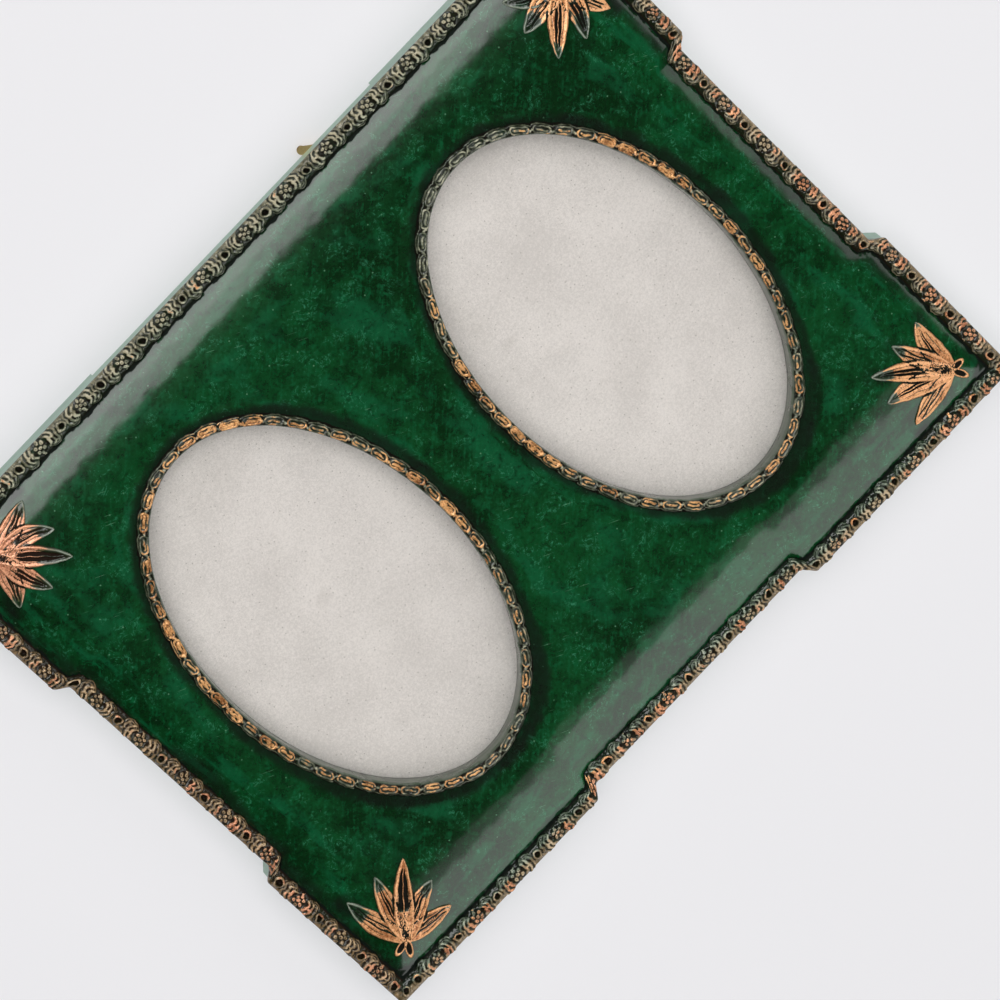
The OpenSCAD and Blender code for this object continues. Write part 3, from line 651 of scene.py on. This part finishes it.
def build_palmette(name, cell=0.19, margin=3.5):
    """Leaves over the face: the highest of all the leaves and feet at each point, laid on face_height.
    Painted shade lies in the crease where two leaves meet, and a painted contact shadow round each leaf on
    its neighbours.
    """
    (root_x, root_y), leaves, feet = PALMETTES[name]
    places = np.array([place[:2] for place in leaves + feet])
    (low_x, low_y), (high_x, high_y) = places.min(0) - margin, places.max(0) + margin
    x, y = np.meshgrid(np.arange(low_x, high_x, cell), np.arange(low_y, high_y, cell))
    best, leaf_meet_shade = [np.zeros_like(x) for _ in range(5)], np.zeros_like(x)
    shapes = [(tip_x, tip_y, leaf, (LEAF_W * share, opening, bow), took, 1 + 0.1 * k)
              for k, (tip_x, tip_y, share, opening, bow, took) in enumerate(leaves)]
    shapes += [(tip_x, tip_y, foot, (), 1.1, 1.05) for tip_x, tip_y in feet]
    for tip_x, tip_y, shape, sizes, took, lift in shapes:
        length = math.hypot(tip_x - root_x, tip_y - root_y)
        c, s = (tip_x - root_x) / length, (tip_y - root_y) / length
        gx, gy = x - root_x, y - root_y
        height, t, hollow, outline, contact_shadow = shape(gx * c + gy * s, gy * c - gx * s, length, *sizes)
        bare = smooth(took - 0.12, took + 0.1, t + 0.05 * waves(x, y, 5, 31) - 0.12 * outline)
        over = height * lift > best[0]
        # Painted shade in the crease where two leaves meet
        meet = smooth(0.09, 0.02, np.abs(height * lift - best[0])) * (height > 0.3) * (best[0] > 0.3)
        leaf_meet_shade = np.maximum(leaf_meet_shade, meet)
        # Painted contact shadow round this leaf, on the leaves next to it
        best[2] = np.maximum(best[2], 0.8 * contact_shadow)
        best = [np.where(over, new, old) for new, old in zip((height * lift, t, hollow, outline, bare), best)]
    height, t, hollow, outline, bare = best
    hollow = np.maximum(hollow, 0.85 * leaf_meet_shade)
    ground = face_height(x, y)
    inside = height > 0.02
    cells = inside[1:, 1:] | inside[:-1, :-1] | inside[1:, :-1] | inside[:-1, 1:]
    # shade is painted darker where a leaf runs low, at its edges; hollow carries the painted crease shade and
    # contact shadow
    values = {"raised": np.clip(height * 1.15, 0, 1) * (1 - hollow) * (1 - 0.8 * bare), "hollow": hollow,
              "copper": 1.3 * (1 - bare), "shade": 0.75 + 0.2 * smooth(0.5, 0.1, height),
              "tip": bare * outline, "edge": outline, "warm": 1.0 if name == "lower_right" else 0.3}
    top = ground + np.where(inside, LEAF_RELIEF * height, -0.25)
    return slab(f"palmette_{name}", x, y, top, ground - 0.8, cells, values)


palmettes = [build_palmette(name) for name in PALMETTES]

# %% [markdown]
# ## The body of the moulding
# Under the new skin the moulding needs its side walls, feet, arches, ribs and screw bosses. The CAD node
# has them, so a copy of its mesh serves, with its top skin pressed down out of sight. A point belongs to that
# skin if it lies above the middle of the face's thickness. Points that the press brings together are merged,
# so no squashed faces are left.

# %% Press the copy's top skin down
FACE_T = 2.2
PRESS = 0.75
WELL_TOP = 13.8
MERGE_WITHIN = 1e-6

core_mesh = frame["nodes"]["front_moulding"].data.copy()
core = bpy.data.objects.new("moulding_body", core_mesh)
bpy.context.scene.collection.objects.link(core)
co = np.zeros(len(core_mesh.vertices) * 3, np.float32)
core_mesh.vertices.foreach_get("co", co)
co = co.reshape(-1, 3).astype(float) / MM
here = face_height(co[:, 0], co[:, 1])
in_band = np.minimum(*inward(co[:, 0], co[:, 1], fade=False)) < BORDER_W + 0.3
skin = np.where(in_band, WALL_TOP, here - PRESS)
on_top = co[:, 2] > np.minimum(here - FACE_T / 2, skin)
co[:, 2] = np.where(on_top, np.minimum(co[:, 2], skin), co[:, 2])
in_well = from_window(co[:, 0], co[:, 1]) < WELL_WALL + 0.1
co[:, 2] = np.where(in_well, np.minimum(co[:, 2], WELL_TOP), co[:, 2])
core_mesh.vertices.foreach_set("co", (co * MM).astype(np.float32).ravel())
merged = bmesh.new()
merged.from_mesh(core_mesh)
bmesh.ops.remove_doubles(merged, verts=merged.verts, dist=MERGE_WITHIN)
merged.to_mesh(core_mesh)
merged.free()
core_mesh.update()
print("moulding_body: highest point in mm", round(co[:, 2].max(), 2), "points", len(core_mesh.vertices))

# %% [markdown]
# ## Writing finishes as sums
# A finish is a net of shader nodes, but it is easier to read as arithmetic. A Wire is one socket of such a
# net. Adding or multiplying wires adds the Math nodes that do it. Every other node comes from one method that
# takes its type, its settings and what goes into its sockets.

# %% The Wire class
class Wire:
    """One output socket of a finish, on which Python's own sums work."""

    def __init__(self, tree, socket):
        self.tree, self.socket = tree, socket

    def node(self, kind, settings, sockets, out=0):
        """Adds a node, makes its settings, fills its sockets with values or wires, and gives one output."""
        made = self.tree.nodes.new("ShaderNode" + kind)
        for key, value in settings.items():
            setattr(made, key, value)
        for key, value in sockets.items():
            if isinstance(value, Wire):
                self.tree.links.new(value.socket, made.inputs[key])
            else:
                made.inputs[key].default_value = value
        return Wire(self.tree, made.outputs[out])

    def math(self, operation, *values):
        """A Math node on these values, wires or numbers."""
        return self.node("Math", {"operation": operation}, dict(enumerate(values)))

    def __add__(self, other):
        return self.math("ADD", self, other)

    def __sub__(self, other):
        return self.math("SUBTRACT", self, other)

    def __rsub__(self, other):
        return self.math("SUBTRACT", other, self)

    def __mul__(self, other):
        return self.math("MULTIPLY", self, other)

    __radd__, __rmul__ = __add__, __mul__

    def most(self, other):
        """The larger of two values."""
        return self.math("MAXIMUM", self, other)

    def step(self, low, high):
        """0 below low, 1 above high, and a smooth curve between them. low may be the larger one."""
        return self.node("MapRange", {"interpolation_type": "SMOOTHSTEP"}, {0: self, 1: low, 2: high})

    def folds(self, count):
        """A zigzag that rises from 0 to 1 and falls back, count times while this value goes from 0 to 1."""
        return self.math("PINGPONG", self * count, 0.5) * 2.0

    def blend(self, one, other):
        """The colour one where this wire is 0 and other where it is 1, each a wire, or red, green and blue as
        a screen shows them. A Mix node's sockets share names, so its colours go by number."""
        one, other = [c if isinstance(c, Wire) else colour(*c) for c in (one, other)]
        return self.node("Mix", {"data_type": "RGBA"}, {0: self, 6: one, 7: other}, 2)

    def noise(self, size, detail=2.0, rough=0.5, distortion=0.0):
        """Cloudy noise on this vector, whose clouds are about size mm across."""
        return self.node("TexNoise", {}, {"Vector": self, "Scale": 1 / size, "Detail": detail,
                                          "Roughness": rough, "Distortion": distortion})

    def vector(self, operation, sockets, out=0):
        """A Vector Math node whose first vector is this one."""
        return self.node("VectorMath", {"operation": operation}, {0: self, **sockets}, out)

    def axis(self, letter):
        """One of the three parts, X, Y or Z, of this vector."""
        return self.node("SeparateXYZ", {}, {0: self}, letter)

    def stretched(self, turn, along, across):
        """This vector turned by degrees about Z and squeezed, so that a noise on it makes streaks."""
        sockets = {"Vector": self, "Angle": math.radians(turn)}
        turned = self.node("VectorRotate", {"rotation_type": "Z_AXIS"}, sockets)
        return turned.vector("MULTIPLY", {1: (1 / along, 1 / across, 1)})

    def blob(self, x, y, wide, high):
        """A soft spot: 1 in its middle (x, y), and 0 on the ellipse with these half sizes and beyond."""
        away = self.vector("SUBTRACT", {1: (x, y, 0)}).vector("MULTIPLY", {1: (1 / wide, 1 / high, 0)})
        return away.vector("LENGTH", {}, "Value").step(1.0, 0.2)

    def dots(self, size, share=1.0):
        """How far in X and Y the nearest of scattered points is, in shares of size, their usual distance."""
        return self.node("TexVoronoi", {"voronoi_dimensions": "2D"},
                         {"Vector": self, "Scale": 1 / size, "Randomness": share})


def colour(*shown):
    """Blender's linear values for red, green and blue as a screen shows them, from 0 to 255."""
    c = np.divide(shown, 255)
    return (*np.where(c < 0.0405, c / 12.92, ((c + 0.055) / 1.055) ** 2.4), 1.0)


def finish(name, build, **constants):
    """A material. build gets the place in mm and a reader of point values, and says what goes into which
    socket of the Principled shader. A height in mm goes through a Bump node into its normal."""
    material = bpy.data.materials.new(name)
    material.use_nodes = True
    tree = material.node_tree
    shader = tree.nodes["Principled BSDF"]
    start = Wire(tree, tree.nodes.new("ShaderNodeTexCoord").outputs["Object"])
    place = start.vector("SCALE", {"Scale": 1 / MM})

    def value(key):
        return start.node("Attribute", {"attribute_name": key}, {}, "Fac")

    sockets = build(place, value)
    height = sockets.pop("height", None)
    if height is not None:
        sockets["Normal"] = start.node("Bump", {}, {"Strength": 1.0, "Distance": MM, "Height": height})
    for key, wire in {**constants, **sockets}.items():
        if isinstance(wire, Wire):
            tree.links.new(wire.socket, shader.inputs[key])
        else:
            shader.inputs[key].default_value = wire
    return material


# %% [markdown]
# ## The stained skin
# One finish covers the face, border, rims and palmettes, because one hand stained them all. It builds up
# much as the real one did: a green stain that pooled into mottles, a dark wipe left in hollows and bands that
# in places also stands for painted shade and shadow, pale scuffs where it was knocked, copper rubbed over
# what stands highest, and painted glints. Each layer is a colour and a mask from 0 to 1, made of noises and
# of the values the shapes carry.

# %% Stained plastic with rubbed copper
GLOSS = {"Specular IOR Level": 0.06, "Coat Roughness": 0.12, "Coat IOR": 1.55}


def stained(place, value):
    raised, hollow, copper, shade = value("raised"), value("hollow"), value("copper"), value("shade")
    warm, edge = value("warm"), value("edge")
    # Noises from the widest cloud to the finest dust, in mm
    cloud, patch = place.noise(30, 3), place.noise(7, 4, 0.6)
    grit, dust = place.noise(1.0, 3, 0.65), place.noise(0.5, 2)
    brush = place.stretched(-42, 14, 1.0).noise(1, 3, 0.6)
    ripple = place.stretched(46, 4.2, 1.3).noise(1, 3, 0.6, 1.0)
    creased = place.noise(4.2, 4, 0.62, 1.6)
    # The green stain: two greens in clouds, teal pools, lighter brushed places, dark creases and pale veins
    green = (cloud * 0.5 + patch * 0.5).step(0.41, 0.60).blend((0, 40, 9), (0, 68, 27))
    green = (place.stretched(70, 24, 15).noise(1, 3).step(0.52, 0.66) * 0.65).blend(green, (3, 88, 50))
    light = (brush * 0.3 + creased * 0.4 + grit * 0.3).step(0.48, 0.68) * 0.7
    green = light.blend(green, (4, 97, 54))
    green = ((creased * 0.55 + grit * 0.45).step(0.48, 0.36) * 0.65).blend(green, (0, 30, 8))
    vein = creased.folds(5).step(0.72, 0.96) * patch.step(0.50, 0.60) * grit.step(0.42, 0.58)
    green = (vein * 0.5).blend(green, (60, 146, 108))
    # The dark wipe, which round the rims and leaves is also painted shadow and shade, and the specks and
    # scuffs that it left bare
    stain_and_painted_shade = (shade + (patch - 0.5) * 0.8 + (grit - 0.5) * 0.25).step(0.25, 1.05) * 0.92
    body = stain_and_painted_shade.blend(green, warm.blend((14, 18, 13), (40, 26, 18)))
    speck = place.dots(6.0).step(0.05, 0.02) * place.noise(2.6).step(0.55, 0.6) * (1 - stain_and_painted_shade)
    scuff = place.stretched(28, 7, 0.3).noise(1, 2).step(0.71, 0.77) * cloud.step(0.46, 0.58) * (1 - stain_and_painted_shade)
    body = (speck.most(scuff) * 0.5).blend(body, (110, 170, 130))
    # The ornament: a worn film on what is raised, painted glints on its tops, and stain left in its crevices,
    # which also stands for painted shade in the seams and painted contact shadow round the leaves
    film = (raised + (patch - 0.5) * 0.5 + (grit - 0.5) * 0.6 - hollow * 0.8).step(0.2, 0.85)
    film = film * raised.step(0.0, 0.2)
    body = (film * 0.85).blend(body, warm.blend((118, 140, 122), (156, 128, 92)))
    painted_glint = (raised * 0.8 + dust * 0.5 + grit * 0.4 - hollow * 0.5 - edge).step(1.04, 1.28)
    body = (painted_glint * 0.7).blend(body, warm.blend((196, 206, 184), (226, 196, 156)))
    crevice_stain_and_shade = (hollow + (grit - 0.5) * 0.4).step(0.25, 0.7)
    body = (crevice_stain_and_shade * 0.95).blend(body, warm.blend((11, 17, 13), (34, 19, 12)))
    # The copper rub, more golden on the rims, with dark pinholes and a painted highlight along the leaves'
    # outlines
    rubbed = (raised * copper + (patch - 0.5) * 0.7 + (grit - 0.5) * 0.5 - hollow * 0.9).step(0.52, 0.8)
    copper_tone_and_highlight = (grit * 0.35 + patch * 0.5 + dust * 0.15 + edge * 0.14).step(0.38, 0.60)
    metal = copper_tone_and_highlight.blend(warm.blend((178, 110, 58), (150, 90, 62)),
                         warm.blend((250, 188, 128), (234, 168, 130)))
    metal = (value("gold") * 0.75).blend(metal, copper_tone_and_highlight.blend((138, 90, 48), (232, 180, 118)))
    metal = ((dust * 0.5 + grit * 0.5).step(0.44, 0.35) * 0.6).blend(metal, (104, 58, 32))
    body = rubbed.blend(body, metal)
    # The leaves' bare tips, whose pale ridges are partly worn mint plastic and partly painted highlight, and
    # the grey wall of the wells
    body = (value("tip") * (patch * 0.6 + 0.5)).blend(body, (182, 192, 172))
    body = value("well").blend(body, place.stretched(0, 2, 2).noise(3, 3).blend((62, 76, 60), (100, 114, 94)))
    return {"Base Color": body, "Roughness": 0.28 + rubbed * 0.12 + crevice_stain_and_shade * 0.4 + (patch - 0.5) * 0.1,
            "Metallic": rubbed * 0.35, "Coat Weight": 0.8 - crevice_stain_and_shade * 0.78 - rubbed * 0.3 - stain_and_painted_shade * 0.15,
            "height": place.noise(2.4, 3, 0.5, 0.4) * 0.05 + brush * 0.03 + ripple * 0.03 + grit * 0.03}


stained_finish = finish("stained_moulding", stained, **GLOSS)


# %% [markdown]
# ## The bare plastic
# Behind and beside its skin the moulding shows the pale mint plastic it was cast in, with faint flow streaks
# from the mould. Stain ran down the outer walls in places.

# %% Mint plastic
def mint(place, value):
    flow = place.stretched(0, 30, 1.2).noise(1, 3) * 0.5 + place.stretched(90, 30, 1.2).noise(1, 3) * 0.5
    cloud = place.noise(11, 4, 0.6)
    base = (flow * 0.55 + cloud * 0.45).step(0.3, 0.7).blend((128, 163, 144), (156, 187, 168))
    run = place.stretched(0, 5, 5).noise(1, 4, 0.7)
    stain = (place.axis("Z") * 0.09 + run - 0.5).step(0.72, 1.1)
    return {"Base Color": (stain * 0.8).blend(base, (20, 66, 46)),
            "Roughness": 0.42 + (cloud - 0.5) * 0.2, "height": flow * 0.05 + cloud * 0.04}


mint_finish = finish("mint_plastic", mint)


# %% [markdown]
# ## What lies behind the windows
# The panes are thin clear sheets that only add a little gloss over the paper. The blank paper has the flecks
# of a recycled stock and a few faint smudges. Card, board and strut are fibre boards of other shades.

# %% Pane, paper, card and board
def clear(place, value):
    haze = place.noise(14, 3)
    return {"Base Color": haze.blend((235, 238, 236), (248, 250, 249)),
            "Roughness": 0.05 + place.noise(5, 3).step(0.5, 0.8) * 0.12, "Alpha": 0.04 + haze * 0.04}


# Middle of each smudge, and its half width and half height
SMUDGES = [(-31, -16, 4, 2.5), (-27, -30, 6, 14), (57, -4, 4, 3), (56, -49, 16, 10)]


def paper(place, value):
    cloud, fibre = place.noise(18, 3), place.noise(0.5, 3, 0.6)
    base = (cloud * 0.35 + fibre * 0.65).step(0.34, 0.66).blend((210, 203, 197), (232, 225, 219))
    fleck = place.dots(3.2).step(0.075, 0.035) * place.noise(2.9).step(0.47, 0.56)
    soil = sum(place.blob(*smudge) for smudge in SMUDGES) * (place.noise(1.6, 3, 0.7) * 1.6 - 0.3)
    return {"Base Color": (soil * 0.3).most(fleck * 0.7).blend(base, (146, 138, 128)),
            "Roughness": 0.85 + (fibre - 0.5) * 0.2, "height": fibre * 0.04}


def card(place, value):
    fibre = place.stretched(90, 6, 0.5).noise(1, 4, 0.65)
    return {"Base Color": fibre.step(0.3, 0.7).blend((150, 122, 88), (190, 160, 122)),
            "Roughness": 0.85 + (fibre - 0.5) * 0.2, "height": fibre * 0.05}


def board(place, value):
    fibre, cloud = place.noise(0.9, 4, 0.7), place.noise(22, 3)
    streak = place.stretched(20, 5, 0.6).noise(1, 3, 0.6)
    weave = place.stretched(45, 1, 1).dots(1.1, 0.35)
    base = (fibre * 0.45 + cloud * 0.3 + streak * 0.25).step(0.36, 0.64).blend((84, 56, 36), (132, 94, 62))
    return {"Base Color": (weave.step(0.5, 0.9) * 0.35).blend(base, (58, 38, 26)),
            "Roughness": 0.62 + (fibre - 0.5) * 0.3, "height": fibre * 0.05 - weave * 0.08}


pane_finish = finish("clear_pane", clear)
paper_finish = finish("blank_paper", paper)
card_finish = finish("filler_card", card)
board_finish = finish("fibre_board", board)


# %% [markdown]
# ## The metal
# Turn buttons, screws, rivets and hinge leaves are stamped brass, with fine rolling lines and brown tarnish.
# The tip that sticks out below the lower edge is darkest at its end: tarnish, and painted shade on its
# rounded end.

# %% Brass and steel
# Places along Y between which the outermost button's tip darkens: tarnish and painted shade on its end
TIP_DARK_SPAN = -94.9, -96.2


def brass(place, value):
    rolled, cloud = place.stretched(0, 7, 0.3).noise(1, 2), place.noise(3.2, 4, 0.65)
    # The tip's end is darkened: tarnish, and painted shade on its rounded end
    tip_end_tarnish_and_shade = (place.axis("Y") + cloud * 1.6).step(*TIP_DARK_SPAN)
    tarnish_and_tip_shade = (cloud.step(0.4, 0.8) * 0.35).most(tip_end_tarnish_and_shade)
    base = rolled.blend((196, 166, 104), (226, 202, 148))
    return {"Base Color": tarnish_and_tip_shade.blend(base, (84, 60, 38)), "Metallic": 0.9 - tarnish_and_tip_shade * 0.5,
            "Roughness": 0.3 + tarnish_and_tip_shade * 0.25 + (rolled - 0.5) * 0.1, "height": rolled * 0.012 + cloud * 0.02}


def steel(place, value):
    drawn, rust = place.stretched(0, 12, 0.2).noise(1, 2), place.noise(1.8, 4, 0.6).step(0.58, 0.7)
    return {"Base Color": rust.blend(drawn.blend((150, 150, 150), (188, 188, 186)), (104, 66, 42)),
            "Metallic": 0.95 - rust * 0.6, "Roughness": 0.28 + rust * 0.4,
            "height": drawn * 0.008 + rust * 0.01}


brass_finish = finish("brass", brass)
steel_finish = finish("steel", steel)

# %% [markdown]
# ## Dressing the pieces
# Every CAD node that stays visible gets its finish in its own material slots. The new skin rides on the
# frame body and stands for the CAD moulding.

# %% Hand out the finishes
FINISH_OF_SLOT = {"stained_moulding": mint_finish, "clear_pane": pane_finish, "insert_paper": paper_finish,
                  "filler_card": card_finish, "hardboard": board_finish, "brass": brass_finish,
                  "steel": steel_finish}
for part in frame["record"]["subparts"]:
    mesh = frame["nodes"][part["node"]].data
    mesh.materials.clear()
    mesh.materials.append(FINISH_OF_SLOT[part["material_slot"]])

for piece in [face, *borders, *rims, *palmettes, core]:
    piece.data.materials.clear()
    piece.data.materials.append(mint_finish if piece is core else stained_finish)
    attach(piece, "frame")
    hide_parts("front_moulding")

# %% [markdown]
# ## Floor
# The frame lies on its back on a plain pale surface. Part of its white comes from its colour, lit as the
# object is, which keeps the object's shadow. The rest is a steady white that only the camera, reflections and
# panes see. From below the floor is see-through and lets a lamp's light pass, so that the back can be seen.

# %% Make the floor
FLOOR_HALF = 2.5
STEADY_SHARE = 0.42
bpy.ops.mesh.primitive_plane_add(size=2 * FLOOR_HALF, location=(0, 0, 0))
floor = bpy.context.object
floor.name = "floor"
floor_finish = bpy.data.materials.new("pale_floor")
floor_finish.use_nodes = True
tree = floor_finish.node_tree
tree.nodes.clear()
rays = tree.nodes.new("ShaderNodeLightPath").outputs
start, glossy, through, shadow = [Wire(tree, rays[f"Is {kind} Ray"]) for kind in
                                  ("Camera", "Glossy", "Transmission", "Shadow")]
seen = start.most(glossy).most(through)
pale = start.node("BsdfDiffuse", {}, {"Color": colour(240, 239, 241)})
white = start.node("Emission", {}, {"Color": colour(243, 242, 245), "Strength": 1.0})
shown = start.node("MixShader", {}, {0: seen * STEADY_SHARE, 1: pale, 2: white})
see_through = start.node("BsdfTransparent", {}, {})
lets_through = start.node("NewGeometry", {}, {}, "Backfacing").most(shadow)
whole = start.node("MixShader", {}, {0: lets_through, 1: shown, 2: see_through})
output = tree.nodes.new("ShaderNodeOutputMaterial")
tree.links.new(whole.socket, output.inputs["Surface"])
floor.data.materials.append(floor_finish)

# %% [markdown]
# ## Light
# Soft panels beyond the lower and the upper edge leave a dark gap right above. That is why the flat middle
# looks deep green while both long edges of the dome, which lean outwards, catch grey bands. Those panels show
# in the gloss alone. Colours and shadows come from two fills that show in no gloss. A panel at the left end
# shows in both, one under the floor lights the back, and a weak even world fills the rest.

# %% Hang the panels
def panel(name, tilt, turn, distance, width, depth, radiance):
    """A soft panel that faces the frame. tilt is its angle from straight up and turn its compass direction,
    0 towards -Y. Its power is radiance times pi times its area."""
    light = bpy.data.lights.new(name, "AREA")
    light.shape, light.size, light.size_y = "RECTANGLE", width, depth
    light.energy = radiance * math.pi * width * depth
    lamp = bpy.data.objects.new(name, light)
    t, a = math.radians(tilt), math.radians(turn)
    out = Vector((math.sin(t) * math.sin(a), -math.sin(t) * math.cos(a), math.cos(t)))
    lamp.matrix_world = Matrix.Translation(out * distance) @ out.to_track_quat("Z", "Y").to_matrix().to_4x4()
    bpy.context.scene.collection.objects.link(lamp)
    return lamp


# The kind of ray that doesn't see these panels, and what panel() needs for each
PANELS = [
    ("diffuse", [
        ("lower_panel", 38.3, 0, 1.6, 1.9, 1.0, 3.7), ("lower_core", 42.5, 0, 1.6, 1.9, 0.72, 1.6),
        ("upper_panel", 51, 180, 1.6, 1.7, 1.0, 1.65), ("upper_soft", 43.5, 180, 1.6, 1.7, 1.0, 0.6)]),
    ("glossy", [("lower_fill", 30, 0, 1.6, 1.8, 1.4, 1.5), ("top_fill", 14, 180, 1.7, 2.6, 2.6, 1.22)]),
    ("", [("left_panel", 60, -90, 1.8, 1.2, 0.8, 1.6), ("back_panel", 180, 0, 1.6, 1.0, 1.0, 6.0)])]
for blind, rows in PANELS:
    lamps = [panel(*row) for row in rows]
    for lamp in lamps:
        lamp.visible_diffuse, lamp.visible_glossy = blind != "diffuse", blind != "glossy"
    print("hidden from", blind or "none", "rays:", len(lamps), "panels")

world = bpy.data.worlds.new("even_light")
world.use_nodes = True
world.node_tree.nodes["Background"].inputs["Color"].default_value = (0.9, 0.92, 0.95, 1)
world.node_tree.nodes["Background"].inputs["Strength"].default_value = 0.05
bpy.context.scene.world = world
bpy.context.scene.view_settings.view_transform = "Standard"

# %% [markdown]
# ## Camera
# The camera stands high over the lower edge and is rolled, so that the frame lies across the picture from
# corner to corner, and two of its corners run out of it.

# %% Place the camera
CAMERA_AT = Vector((-5.284, -194.695, 932.479)) * MM
RIGHT, UP, BACK = (-0.69128, 0.70627, 0.15270), (-0.72254, -0.67317, -0.15740), (-0.00837, -0.21914, 0.97566)
view = bpy.data.cameras.new("camera")
view.lens, view.sensor_width = 120.603, 36.0
camera = bpy.data.objects.new("camera", view)
camera.matrix_world = Matrix.Translation(CAMERA_AT) @ Matrix((RIGHT, UP, BACK)).transposed().to_4x4()
bpy.context.scene.collection.objects.link(camera)
bpy.context.scene.camera = camera
